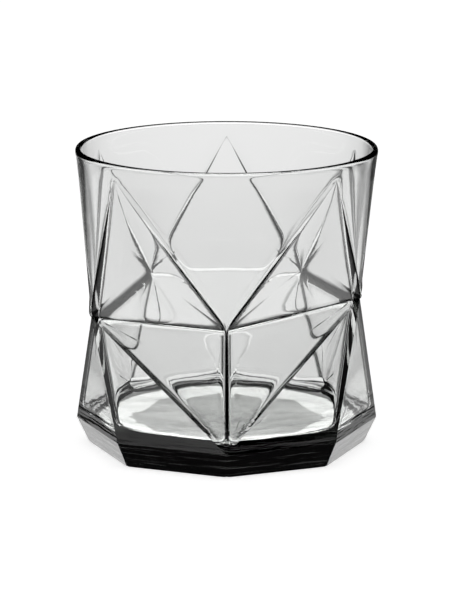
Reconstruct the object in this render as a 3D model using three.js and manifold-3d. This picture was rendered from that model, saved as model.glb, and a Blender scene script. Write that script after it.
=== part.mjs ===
// Faceted whiskey tumbler: one piece of pressed glass, in millimetres, +Z up.
// The origin is the middle of the foot, on the surface that the tumbler stands on.
// The outside is two lumps of glass that meet at the waist: a bowl that flares from five waist corners to a
// round rim, and a base whose flat facets run from the same corners down to an eight-sided heel.
// The drinking space is the same pair of lumps with every facet moved in by one wall thickness.

import * as THREE from 'three';
import { ConvexGeometry } from 'three/addons/geometries/ConvexGeometry.js';
import { mergeVertices } from 'three/addons/utils/BufferGeometryUtils.js';
import Module from 'manifold-3d';

// Overall sizes
const height = 90.4;
const rimRadius = 45;
const heelRadius = 45.1;
const heelHeight = 7.7;
const footRadius = 41.4;
const heelSides = 8;

// Glass thickness
const rimWall = 1.8;
const sideWall = 2.3;
const floorThickness = 9;
const lipRound = 0.9;

// Bend between the drinking space's floor and its side facets: how far it rises, and how far it comes in
const bendRise = 1;
const bendInset = 2;

// Waist corners, where the bowl meets the base, in order round the tumbler: degrees round from the front
// towards +X, radius, height, and the first and last heel corner that a facet edge joins the corner to
const waistCorners = [
  { turn: 0, radius: 39.2, height: 43.0, heels: [0, 0] },
  { turn: 90, radius: 39.9, height: 43.9, heels: [0, 3] },
  { turn: 144, radius: 38.6, height: 45.9, heels: [3, 4] },
  { turn: 216, radius: 38.6, height: 45.9, heels: [4, 5] },
  { turn: 268, radius: 40.6, height: 37.9, heels: [5, 8] },
];

// How far above the highest waist corner the base is closed, inside the bowl
const peakRise = 14;

// Smoothness of the round stretches
const rimSegments = 96;
const lipSteps = 4;

const wasm = await Module();
wasm.setup();

// The front of the tumbler faces -Y.
function place(radius, turn, z) {
  const angle = THREE.MathUtils.degToRad(turn);
  return new THREE.Vector3(radius * Math.sin(angle), -radius * Math.cos(angle), z);
}

function ring(radius, z, sides) {
  return Array.from({ length: sides }, (_, i) => place(radius, (360 * i) / sides, z));
}

function toSolid(geometry) {
  const bare = geometry.clone();
  bare.deleteAttribute('normal');
  bare.deleteAttribute('uv');
  const merged = mergeVertices(bare, 1e-4);
  const mesh = new wasm.Mesh({
    numProp: 3,
    vertProperties: Float32Array.from(merged.attributes.position.array),
    triVerts: Uint32Array.from(merged.index.array),
  });
  return new wasm.Manifold(mesh);
}

function toGeometry(solid) {
  const mesh = solid.getMesh();
  const geometry = new THREE.BufferGeometry();
  geometry.setAttribute('position', new THREE.BufferAttribute(Float32Array.from(mesh.vertProperties), 3));
  geometry.setIndex(new THREE.BufferAttribute(Uint32Array.from(mesh.triVerts), 1));
  geometry.computeVertexNormals();
  return geometry;
}

function hull(points) {
  return toSolid(new ConvexGeometry(points));
}

// A lathe turns its profile about Y, so it is stood up on Z here.
function turned(profile) {
  return toSolid(new THREE.LatheGeometry(profile, rimSegments).rotateX(Math.PI / 2));
}

// The facets between the waist corners and the heel corners, each counter-clockwise from outside.
function sideFacets(waist, heel) {
  return waistCorners.flatMap((corner, i) => {
    const next = waist[(i + 1) % waist.length];
    const [firstHeel, lastHeel] = corner.heels;
    const facets = [[waist[i], heel[lastHeel % heelSides], next]];
    for (let h = firstHeel; h < lastHeel; h += 1) {
      facets.push([waist[i], heel[h], heel[(h + 1) % heelSides]]);
    }
    return facets;
  });
}

// The flat triangles of the bowl: each stands on two waist corners and touches the rim with its tip.
function bowlFlats(waist) {
  return waist.map((corner, i) => {
    const next = waist[(i + 1) % waist.length];
    const tip = corner.clone().add(next).setZ(0).setLength(rimRadius).setZ(height);
    return [corner, next, tip];
  });
}

// A base closed by side facets, a chamfer down to the foot, the flat foot, and a peak inside the bowl.
function facetedBase(waist, heel, foot) {
  const peak = new THREE.Vector3(0, 0, peakRise + Math.max(...waist.map((corner) => corner.z)));
  const middle = new THREE.Vector3(0, 0, foot[0].z);
  const facets = sideFacets(waist, heel);
  waist.forEach((corner, i) => facets.push([peak, corner, waist[(i + 1) % waist.length]]));
  for (let h = 0; h < heelSides; h += 1) {
    const next = (h + 1) % heelSides;
    facets.push([heel[h], foot[h], foot[next]]);
    facets.push([heel[h], foot[next], heel[next]]);
    facets.push([middle, foot[next], foot[h]]);
  }
  return toSolid(new THREE.BufferGeometry().setFromPoints(facets.flat()));
}

// Moves a corner to where the facets that meet there would meet if each were one wall further in: the least
// squares answer, because more than three facets meet at some corners. A floor fixes the height instead.
function movedIn(corner, facets, wall, floor) {
  const normals = facets
    .filter((facet) => facet.includes(corner))
    .map(([a, b, c]) => new THREE.Vector3().crossVectors(b.clone().sub(a), c.clone().sub(a)).normalize());
  const drop = floor === undefined ? 0 : floor - corner.z;
  const sum = new THREE.Matrix3().set(0, 0, 0, 0, 0, 0, 0, 0, floor === undefined ? 0 : 1);
  const target = new THREE.Vector3();
  normals.forEach((n) => {
    const flat = floor === undefined ? n : n.clone().setZ(0);
    flat.toArray().forEach((a, row) => {
      flat.toArray().forEach((b, column) => {
        sum.elements[column * 3 + row] += a * b;
      });
    });
    target.addScaledVector(flat, -wall - n.z * drop);
  });
  return corner.clone().add(target.applyMatrix3(sum.invert())).setZ(floor ?? corner.z + target.z);
}

// Quarter round of the lip, from the wall's face up to the top of the rim.
function lipProfile(faceRadius, side) {
  return Array.from({ length: lipSteps + 1 }, (_, i) => {
    const rise = (Math.PI / 2) * (i / lipSteps);
    const radius = faceRadius + side * lipRound * (1 - Math.cos(rise));
    return new THREE.Vector2(radius, height - lipRound + lipRound * Math.sin(rise));
  });
}

const waist = waistCorners.map((corner) => place(corner.radius, corner.turn, corner.height));
const heel = ring(heelRadius, heelHeight, heelSides);

function outside() {
  const lip = lipProfile(rimRadius, -1).flatMap((edge) => ring(edge.x, edge.y, rimSegments));
  return hull([...waist, ...lip]).add(facetedBase(waist, heel, ring(footRadius, 0, heelSides)));
}

function drinkingSpace() {
  const facets = sideFacets(waist, heel);
  const flats = bowlFlats(waist);
  const innerWaist = waist.map((corner) => movedIn(corner, [...facets, ...flats], sideWall));
  const innerHeel = heel.map((corner) => movedIn(corner, facets, sideWall, floorThickness + bendRise));
  const floor = innerHeel.map((corner) => {
    const reach = Math.hypot(corner.x, corner.y);
    const share = (reach - bendInset) / reach;
    return new THREE.Vector3(corner.x * share, corner.y * share, floorThickness);
  });
  const mouthRadius = rimRadius - rimWall;
  const aboveRim = height + lipRound;
  const bowl = hull([
    ...innerWaist,
    ...ring(mouthRadius, height - lipRound, rimSegments),
    ...ring(mouthRadius, aboveRim, rimSegments),
  ]);
  const flare = turned([
    new THREE.Vector2(0, height - lipRound),
    ...lipProfile(mouthRadius, 1),
    new THREE.Vector2(mouthRadius + lipRound, aboveRim),
    new THREE.Vector2(0, aboveRim),
  ]);
  return bowl.add(facetedBase(innerWaist, innerHeel, floor)).add(flare);
}

const smokedGlass = new THREE.MeshStandardMaterial({
  name: 'smoked_glass',
  color: 0xc9cbca,
  roughness: 0.02,
  metalness: 0,
  transparent: true,
  opacity: 0.35,
});

const tumbler = new THREE.Group();
const body = outside().subtract(drinkingSpace());
const glass = new THREE.Mesh(toGeometry(body), smokedGlass);
glass.name = 'tumbler_glass';
tumbler.add(glass);

export default tumbler;
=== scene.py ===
# Faceted whiskey tumbler in lightly smoked glass, on a pale studio floor. Lengths are in metres.
import math

import bmesh
import bpy
import numpy as np
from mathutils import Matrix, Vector


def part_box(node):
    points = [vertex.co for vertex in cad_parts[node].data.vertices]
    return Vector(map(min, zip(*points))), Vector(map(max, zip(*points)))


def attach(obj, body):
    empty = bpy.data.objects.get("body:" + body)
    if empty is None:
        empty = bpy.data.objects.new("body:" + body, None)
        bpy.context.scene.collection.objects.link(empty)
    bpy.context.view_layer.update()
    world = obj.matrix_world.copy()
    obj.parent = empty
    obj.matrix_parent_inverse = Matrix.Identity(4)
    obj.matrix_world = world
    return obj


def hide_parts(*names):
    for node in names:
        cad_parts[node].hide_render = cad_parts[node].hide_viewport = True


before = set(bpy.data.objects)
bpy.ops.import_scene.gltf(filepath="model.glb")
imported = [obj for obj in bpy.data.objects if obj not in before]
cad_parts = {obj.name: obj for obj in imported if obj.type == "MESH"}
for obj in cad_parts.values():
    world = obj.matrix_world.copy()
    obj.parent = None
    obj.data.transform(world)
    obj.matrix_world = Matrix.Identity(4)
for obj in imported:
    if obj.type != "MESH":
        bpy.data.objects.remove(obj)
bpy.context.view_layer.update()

# Overall sizes, from the CAD box. The rim is just inside the heel.
RIM_INSET = 0.0001
glass_low, glass_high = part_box("tumbler_glass")
HEIGHT = glass_high[2] - glass_low[2]
HEEL_RADIUS = (glass_high[0] - glass_low[0]) / 2
RIM_RADIUS = HEEL_RADIUS - RIM_INSET

# The outside: a shoulder where the facets' tips run out, the heel and the foot
SHOULDER_DROP = 0.0045
SHOULDER_RADIUS = RIM_RADIUS - 0.0005
HEEL_HEIGHT = 0.0077
FOOT_RADIUS = 0.0414
HEEL_SIDES = 8

# Waist corners in order round the tumbler: degrees round from the front towards +X, radius, height,
# and the first and last heel corner that an edge joins the corner to
WAIST = [
    (0, 0.0392, 0.0430, (0, 0)),
    (90, 0.0399, 0.0439, (0, 3)),
    (144, 0.0386, 0.0459, (3, 4)),
    (216, 0.0386, 0.0459, (4, 5)),
    (268, 0.0406, 0.0379, (5, 8)),
]

# Glass thickness, the bend between the bowl's floor and its wall, and the round lip
RIM_WALL = 0.0018
SIDE_WALL = 0.0023
FLOOR_THICKNESS = 0.009
FLOOR_BEND_RISE = 0.001
FLOOR_BEND_INSET = 0.002
LIP_ROUND = RIM_WALL / 2
LIP_HOLD = 0.0006

# Softness of the ridges: how far the holding loops stand off an edge, outside and inside. The second
# loop of the outside stands off the first by a share of that. Edges of a few holds aren't split.
OUTER_HOLD = 0.0011
INNER_HOLD = 0.0022
SECOND_HOLD_SHARE = 0.3
SHORTEST_SPLIT = 3
# The most of a field's half width that its first column may take
WIDEST_FIELD_HOLD = 0.4

# How much blunter than a cone's arc the fields are low down: 0 is the arc
SPINE = 0.7
# The creases along the waist are sunk by this much, apart from the back one, and the ridges of the
# fields are raised
GROOVE = 0.001
RIDGE = 0.0008
BACK_EDGE = 2
# What counts as lying on an edge, and how near its ends, as a share, is left alone
ON_EDGE = 1e-6
END_SHARE = 0.001

# How finely the control cage is divided before it is smoothed
FIELD_ROWS = (0.07, 0.16, 0.3, 0.5, 0.7, 0.88, 1.0)
FIELD_COLUMNS = 12
LIP_STEPS = 4
SMOOTHING = 2
# The size of a smoothed ring against its control ring, where each step turns by the angle
ROUND_SHRINK = (2 + math.cos(math.pi / LIP_STEPS)) / 3

# The glass: refraction, and what is absorbed on the way through
GLASS_IOR = 1.5
SMOKE_TINT = (0.80, 0.805, 0.80, 1)
SMOKE_DENSITY = 320
# The faint ripple that pressing leaves on the glass
FLOW_STRETCH = (1.0, 1.0, 2.5)
FLOW_SCALE = 60.0
FLOW_DETAIL = 3.0
FLOW_DEPTH = 0.00002
# The layered streaks low down, where the glass cooled first: they start at the top height and are
# full from the other one down
STREAK_TOP = 0.018
STREAK_FULL = 0.008
STREAK_STRETCH = (1.0, 1.0, 14.0)
STREAK_SCALE = 45.0
STREAK_DETAIL = 2.0
STREAK_DEPTH = 0.00025

# Brightness of the surroundings by height: 0 is straight down, 0.5 level, 1 straight up. The band is
# cut into soft boxes round the tumbler, and the top light goes all the way round.
BAND_STOPS = ((0.33, 0.0), (0.36, 0.95), (0.425, 1.0), (0.455, 0.0))
TOP_STOPS = ((0.1, 0.05), (0.2, 1.3), (0.318, 1.3), (0.358, 0.0), (0.88, 0.0), (0.93, 0.9))
# The boxes: how many, their turn in degrees, and their brightness from the gap's middle to the box's
BOXES = 8
BOX_TURN = 3.0
BOX_STOPS = ((0.3, 0.06), (0.7, 1.0))

# The pale paper floor, and the lit paper that shows through the foot
FLOOR_SIZE = 8
PAPER_GREY = 0.9
PAPER_GLOW = 0.8
PAPER_ROUGHNESS = 0.9
FOOT_GLOW_RADIUS = 0.0378
FOOT_GLOW_Z = -0.0001
FOOT_GLOW = 1.1

CAMERA_PITCH = 12.54
CAMERA_DISTANCE = 1.0593
CAMERA_AIM_Z = 0.04365
CAMERA_LENS = 212.5
CAMERA_SENSOR = 36
CAMERA_SHIFT = -0.0026667
CAMERA_CLIP = (0.05, 20)


def place(radius, turn, z):
    angle = math.radians(turn)
    return Vector((radius * math.sin(angle), -radius * math.cos(angle), z))


def turn_of(point):
    return math.degrees(math.atan2(point.x, -point.y)) % 360


def heel_ring(radius, z):
    """The eight corners of the heel or the foot."""
    return [place(radius, 360 * h / HEEL_SIDES, z) for h in range(HEEL_SIDES)]


def side_facets(waist, heel):
    """Facets between the waist and the heel, each counter-clockwise from outside."""
    facets = []
    for i, corner in enumerate(waist):
        first, last = WAIST[i][3]
        facets.append((corner, heel[last % HEEL_SIDES], waist[(i + 1) % len(waist)]))
        for h in range(first, last):
            facets.append((corner, heel[h], heel[(h + 1) % HEEL_SIDES]))
    return facets


def tips_of(waist, radius, z):
    """Where the flats between neighbouring waist corners run out, just under the rim."""
    tips = []
    for i, corner in enumerate(waist):
        middle = corner + waist[(i + 1) % len(waist)]
        tips.append(place(radius, turn_of(middle), z))
    return tips


def moved_in(corner, facets, wall, z=None):
    """Where the facets at a corner would meet if each were one wall further in. z fixes the height."""
    normals = []
    for facet in facets:
        if any(point is corner for point in facet):
            a, b, c = facet
            normals.append((b - a).cross(c - a).normalized())
    rows = np.array(normals)
    if z is None:
        shift = np.linalg.lstsq(rows, np.full(len(rows), -wall), rcond=None)[0]
        return corner + Vector(shift)
    wanted = -wall - rows[:, 2] * (z - corner.z)
    shift = np.linalg.lstsq(rows[:, :2], wanted, rcond=None)[0]
    return Vector((corner.x + shift[0], corner.y + shift[1], z))


class Shell:
    """The control cage of one skin of the glass, from the shoulder down to the heel."""

    def __init__(self, bm, waist, heel, shoulder_radius, hold, inside):
        self.bm, self.inside, self.hold = bm, inside, hold
        self.radius = shoulder_radius
        self.tips = tips_of(waist, shoulder_radius, HEIGHT - SHOULDER_DROP)
        self.waist = [bm.verts.new(p) for p in waist]
        self.heel = [bm.verts.new(p) for p in heel]
        self.tip_verts = [bm.verts.new(p) for p in self.tips]
        self.shoulder, self.left, self.right, self.facets = [], [], [], []
        for i in range(len(waist)):
            self.field(i)
        self.flats()
        for corners in side_facets(self.waist, self.heel):
            self.facets.append(self.face(corners))

    def face(self, verts):
        return self.bm.faces.new(list(verts)[::-1] if self.inside else list(verts))

    def across(self, k, t, half_chord):
        """Place of a field's column, from -1 to 1: near the ridges low down, even at the rim."""
        even = 2 * k / FIELD_COLUMNS - 1
        hold = min(self.hold / half_chord, WIDEST_FIELD_HOLD)
        if k in (0, FIELD_COLUMNS):
            return even
        held = (2 * (k - 1) / (FIELD_COLUMNS - 2) - 1) * (1 - hold)
        return held + (even - held) * t**3

    def field(self, i):
        """The round field above one waist corner: an arc at the shoulder, blunter lower down."""
        base = self.waist[i].co.copy()
        start, end = self.tips[i - 1], self.tips[i]
        from_turn, to_turn = turn_of(start), turn_of(end)
        if to_turn <= from_turn:
            to_turn += 360
        half = math.radians((to_turn - from_turn) / 2)
        out = place(1, (to_turn + from_turn) / 2, 0)
        sag = self.radius * (1 - math.cos(half))
        rows = []
        for t in FIELD_ROWS:
            a, b = base.lerp(start, t), base.lerp(end, t)
            row = []
            for k in range(FIELD_COLUMNS + 1):
                s = self.across(k, t, (b - a).length / 2)
                along = math.sin(s * half) / math.sin(half)
                arc = (math.cos(s * half) - math.cos(half)) / (1 - math.cos(half))
                bulge = arc * (1 - SPINE * (1 - t * t) * (1 - arc))
                point = (a + b) / 2 + (b - a) / 2 * along + out * (sag * t * bulge)
                if t == 1 and k == 0:
                    row.append(self.tip_verts[i - 1])
                elif t == 1 and k == FIELD_COLUMNS:
                    row.append(self.tip_verts[i])
                else:
                    row.append(self.bm.verts.new(point))
            rows.append(row)
        for k in range(FIELD_COLUMNS):
            self.face([self.waist[i], rows[0][k + 1], rows[0][k]])
        for low, high in zip(rows, rows[1:]):
            for k in range(FIELD_COLUMNS):
                self.face([low[k], low[k + 1], high[k + 1], high[k]])
        self.left.append([self.waist[i]] + [row[0] for row in rows])
        self.right.append([self.waist[i]] + [row[-1] for row in rows])
        self.shoulder += rows[-1][:-1]

    def flats(self):
        """The flats between neighbouring fields, from one waist corner to the next."""
        for i in range(len(self.waist)):
            up = self.left[(i + 1) % len(self.waist)]
            down = self.right[i][::-1]
            self.facets.append(self.face([self.waist[i]] + up[:-1] + down[:-1]))


def ring_verts(bm, turns, radius, z):
    return [bm.verts.new(place(radius, turn, z)) for turn in turns]


def join_rings(bm, low, high):
    count = len(low)
    made = []
    for k in range(count):
        n = (k + 1) % count
        made.append(bm.faces.new([low[k], low[n], high[n], high[k]]))
    return made


def lip_rings(bm, turns):
    """The rounded lip, from its outer side over the top to its inner one."""
    rings = []
    centre = RIM_RADIUS - LIP_ROUND
    for step in range(LIP_STEPS + 1):
        angle = math.pi * step / LIP_STEPS
        z = HEIGHT - LIP_ROUND + LIP_ROUND / ROUND_SHRINK * math.sin(angle)
        rings.append(ring_verts(bm, turns, centre + LIP_ROUND * math.cos(angle), z))
    return rings


def press_edge(bm, a, b, outwards):
    """Moves what lies on a straight edge away from the axis by outwards(share from a to b)."""
    way = b - a
    for vert in bm.verts:
        along = (vert.co - a).dot(way) / way.length_squared
        on_edge = (vert.co - a.lerp(b, along)).length < ON_EDGE
        if on_edge and END_SHARE < along < 1 - END_SHARE:
            away = Vector((vert.co.x, vert.co.y, 0)).normalized()
            vert.co += away * outwards(along)


def press_creases(bm, shell):
    """Sinks the creases along the waist and raises the ridges of the fields."""
    corners = [vert.co.copy() for vert in shell.waist]
    for i, corner in enumerate(corners):
        for tip in (shell.tips[i - 1], shell.tips[i]):
            press_edge(bm, corner, tip, lambda share: RIDGE * (1 - share**2))
        if i != BACK_EDGE:
            press_edge(bm, corner, corners[(i + 1) % len(corners)], lambda share: -GROOVE)


def hold_edges(bm, facets, hold):
    """Keeps the facets flat and their corners tight when the cage is smoothed."""
    for edge in dict.fromkeys(edge for facet in facets for edge in facet.edges):
        length = edge.calc_length()
        if length > SHORTEST_SPLIT * hold:
            near = edge.verts[0]
            far = edge.other_vert(near)
            _, middle = bmesh.utils.edge_split(edge, near, hold / length)
            rest = next(e for e in middle.link_edges if far in e.verts)
            bmesh.utils.edge_split(rest, far, hold / rest.calc_length())
    bmesh.ops.inset_individual(bm, faces=facets, thickness=hold, use_even_offset=True)


def build_tumbler():
    bm = bmesh.new()
    waist = [place(radius, turn, z) for turn, radius, z, _ in WAIST]
    heel = heel_ring(HEEL_RADIUS, HEEL_HEIGHT)
    outer = Shell(bm, waist, heel, SHOULDER_RADIUS, OUTER_HOLD, False)

    facets = side_facets(waist, heel)
    flats = [(waist[i], waist[(i + 1) % len(waist)], tip) for i, tip in enumerate(outer.tips)]
    inner_waist = [moved_in(p, facets + flats, SIDE_WALL) for p in waist]
    bend_z = FLOOR_THICKNESS + FLOOR_BEND_RISE
    inner_heel = [moved_in(p, facets, SIDE_WALL, bend_z) for p in heel]
    inner = Shell(bm, inner_waist, inner_heel, SHOULDER_RADIUS - RIM_WALL, INNER_HOLD, True)

    turns = [turn_of(v.co) for v in outer.shoulder]
    neck_z = HEIGHT - LIP_ROUND - LIP_HOLD
    outer_neck = ring_verts(bm, turns, RIM_RADIUS, neck_z)
    inner_neck = ring_verts(bm, turns, RIM_RADIUS - RIM_WALL, neck_z)
    rings = [outer.shoulder, outer_neck] + lip_rings(bm, turns) + [inner_neck, inner.shoulder]
    for low, high in zip(rings, rings[1:]):
        join_rings(bm, low, high)

    foot = [bm.verts.new(p) for p in heel_ring(FOOT_RADIUS, 0)]
    chamfers = join_rings(bm, foot, outer.heel)
    stand = [bm.verts.new(p) for p in heel_ring(FOOT_RADIUS - OUTER_HOLD, 0)]
    join_rings(bm, stand, foot)
    bm.faces.new(stand[::-1])

    floor = []
    for corner in inner_heel:
        reach = math.hypot(corner.x, corner.y)
        share = (reach - FLOOR_BEND_INSET) / reach
        floor.append(bm.verts.new((corner.x * share, corner.y * share, FLOOR_THICKNESS)))
    join_rings(bm, inner.heel, floor)
    floor_face = bm.faces.new(floor)

    outside = outer.facets + chamfers
    hold_edges(bm, outside, OUTER_HOLD)
    bmesh.ops.inset_individual(
        bm, faces=outside, thickness=SECOND_HOLD_SHARE * OUTER_HOLD, use_even_offset=False
    )
    hold_edges(bm, inner.facets + [floor_face], INNER_HOLD)
    press_creases(bm, outer)
    bm.normal_update()
    mesh = bpy.data.meshes.new("tumbler")
    bm.to_mesh(mesh)
    bm.free()
    tumbler = bpy.data.objects.new("tumbler", mesh)
    bpy.context.collection.objects.link(tumbler)
    return tumbler


def finish_mesh(tumbler):
    bpy.ops.object.select_all(action="DESELECT")
    tumbler.select_set(True)
    bpy.context.view_layer.objects.active = tumbler
    bpy.ops.object.shade_smooth()
    smooth = tumbler.modifiers.new("smoothing", "SUBSURF")
    smooth.levels = smooth.render_levels = SMOOTHING
    bpy.ops.object.modifier_apply(modifier="smoothing")


def smoked_glass():
    """Clear glass that absorbs light by depth, with a faint ripple and streaks near the foot."""
    material = bpy.data.materials.new("smoked_glass")
    material.use_nodes = True
    nodes, links = material.node_tree.nodes, material.node_tree.links
    nodes.clear()
    output = nodes.new("ShaderNodeOutputMaterial")
    glass = nodes.new("ShaderNodeBsdfPrincipled")
    glass.inputs["Base Color"].default_value = (1, 1, 1, 1)
    glass.inputs["Roughness"].default_value = 0.0
    glass.inputs["IOR"].default_value = GLASS_IOR
    glass.inputs["Transmission Weight"].default_value = 1.0
    links.new(glass.outputs["BSDF"], output.inputs["Surface"])
    smoke = nodes.new("ShaderNodeVolumeAbsorption")
    smoke.inputs["Color"].default_value = SMOKE_TINT
    smoke.inputs["Density"].default_value = SMOKE_DENSITY
    links.new(smoke.outputs["Volume"], output.inputs["Volume"])
    where = nodes.new("ShaderNodeTexCoord").outputs["Object"]

    def noise(stretch, scale, detail):
        mapping = nodes.new("ShaderNodeMapping")
        mapping.inputs["Scale"].default_value = stretch
        links.new(where, mapping.inputs["Vector"])
        texture = nodes.new("ShaderNodeTexNoise")
        texture.inputs["Scale"].default_value = scale
        texture.inputs["Detail"].default_value = detail
        links.new(mapping.outputs["Vector"], texture.inputs["Vector"])
        return texture.outputs["Fac"]

    def bump(height, depth):
        node = nodes.new("ShaderNodeBump")
        node.inputs["Strength"].default_value = 1.0
        node.inputs["Distance"].default_value = depth
        links.new(height, node.inputs["Height"])
        return node

    split = nodes.new("ShaderNodeSeparateXYZ")
    links.new(where, split.inputs["Vector"])
    low_down = nodes.new("ShaderNodeMapRange")
    low_down.inputs["From Min"].default_value = STREAK_TOP
    low_down.inputs["From Max"].default_value = STREAK_FULL
    links.new(split.outputs["Z"], low_down.inputs["Value"])
    streaks = nodes.new("ShaderNodeMath")
    streaks.operation = "MULTIPLY"
    links.new(noise(STREAK_STRETCH, STREAK_SCALE, STREAK_DETAIL), streaks.inputs[0])
    links.new(low_down.outputs["Result"], streaks.inputs[1])
    streak_bump = bump(streaks.outputs["Value"], STREAK_DEPTH)
    flow_bump = bump(noise(FLOW_STRETCH, FLOW_SCALE, FLOW_DETAIL), FLOW_DEPTH)
    links.new(streak_bump.outputs["Normal"], flow_bump.inputs["Normal"])
    links.new(flow_bump.outputs["Normal"], glass.inputs["Normal"])
    return material


def glowing_paper(thing, name, glow):
    """Gives a studio piece its glowing paper. Returns the shader."""
    material = bpy.data.materials.new(name)
    material.use_nodes = True
    shader = material.node_tree.nodes["Principled BSDF"]
    shader.inputs["Base Color"].default_value = (PAPER_GREY, PAPER_GREY, PAPER_GREY, 1)
    shader.inputs["Emission Color"].default_value = (1, 1, 1, 1)
    shader.inputs["Emission Strength"].default_value = glow
    thing.data.materials.append(material)
    return shader


def studio_floor():
    """The paper floor, unseen through the glass and in its reflections, and the lit disc under it."""
    bpy.ops.mesh.primitive_plane_add(size=FLOOR_SIZE, location=(0, 0, 0))
    floor = bpy.context.object
    floor.name = "floor"
    shader = glowing_paper(floor, "pale_paper", PAPER_GLOW)
    shader.inputs["Roughness"].default_value = PAPER_ROUGHNESS
    shader.inputs["Specular IOR Level"].default_value = 0.0
    floor.visible_transmission = False
    floor.visible_glossy = False

    bpy.ops.mesh.primitive_circle_add(
        vertices=64, radius=FOOT_GLOW_RADIUS, fill_type="NGON", location=(0, 0, FOOT_GLOW_Z)
    )
    glow = bpy.context.object
    glow.name = "lit_paper"
    glowing_paper(glow, "lit_paper", FOOT_GLOW)


def studio_light():
    """Surroundings that light the glass: soft boxes in a ring below level, and a soft top light."""
    world = bpy.data.worlds.new("studio")
    bpy.context.scene.world = world
    world.use_nodes = True
    nodes, links = world.node_tree.nodes, world.node_tree.links
    background = nodes["Background"]
    where = nodes.new("ShaderNodeTexCoord")
    split = nodes.new("ShaderNodeSeparateXYZ")
    links.new(where.outputs["Generated"], split.inputs["Vector"])

    def math_node(operation, *values):
        node = nodes.new("ShaderNodeMath")
        node.operation = operation
        for socket, value in zip(node.inputs, values):
            if isinstance(value, float):
                socket.default_value = value
            else:
                links.new(value, socket)
        return node.outputs["Value"]

    def ramp_node(fac, stops):
        ramp = nodes.new("ShaderNodeValToRGB")
        links.new(fac, ramp.inputs["Fac"])
        elements = ramp.color_ramp.elements
        elements.remove(elements[1])
        for position, grey in stops:
            element = elements.new(position)
            element.color = (grey, grey, grey, 1)
        elements.remove(elements[0])
        return ramp.outputs["Color"]

    height = math_node("MULTIPLY_ADD", split.outputs["Z"], 0.5, 0.5)
    turn = math_node("ARCTAN2", split.outputs["X"], split.outputs["Y"])
    turn = math_node("ADD", turn, math.radians(BOX_TURN))
    wave = math_node("COSINE", math_node("MULTIPLY", turn, float(BOXES)))
    boxes = ramp_node(math_node("MULTIPLY_ADD", wave, 0.5, 0.5), BOX_STOPS)
    band = math_node("MULTIPLY", ramp_node(height, BAND_STOPS), boxes)
    light = math_node("ADD", band, ramp_node(height, TOP_STOPS))
    background.inputs["Color"].default_value = (1, 1, 1, 1)
    links.new(light, background.inputs["Strength"])


def studio_camera():
    pitch = math.radians(CAMERA_PITCH)
    back = Vector((0, -math.cos(pitch), math.sin(pitch))) * CAMERA_DISTANCE
    data = bpy.data.cameras.new("camera")
    data.lens = CAMERA_LENS
    data.sensor_width = CAMERA_SENSOR
    data.shift_x = CAMERA_SHIFT
    data.clip_start, data.clip_end = CAMERA_CLIP
    camera = bpy.data.objects.new("camera", data)
    camera.location = Vector((0, 0, CAMERA_AIM_Z)) + back
    camera.rotation_euler = (math.pi / 2 - pitch, 0, 0)
    bpy.context.collection.objects.link(camera)
    bpy.context.scene.camera = camera
    bpy.context.scene.view_settings.view_transform = "Standard"


tumbler = build_tumbler()
finish_mesh(tumbler)
tumbler.data.materials.append(smoked_glass())
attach(tumbler, "root")
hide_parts("tumbler_glass")
studio_floor()
studio_light()
studio_camera()
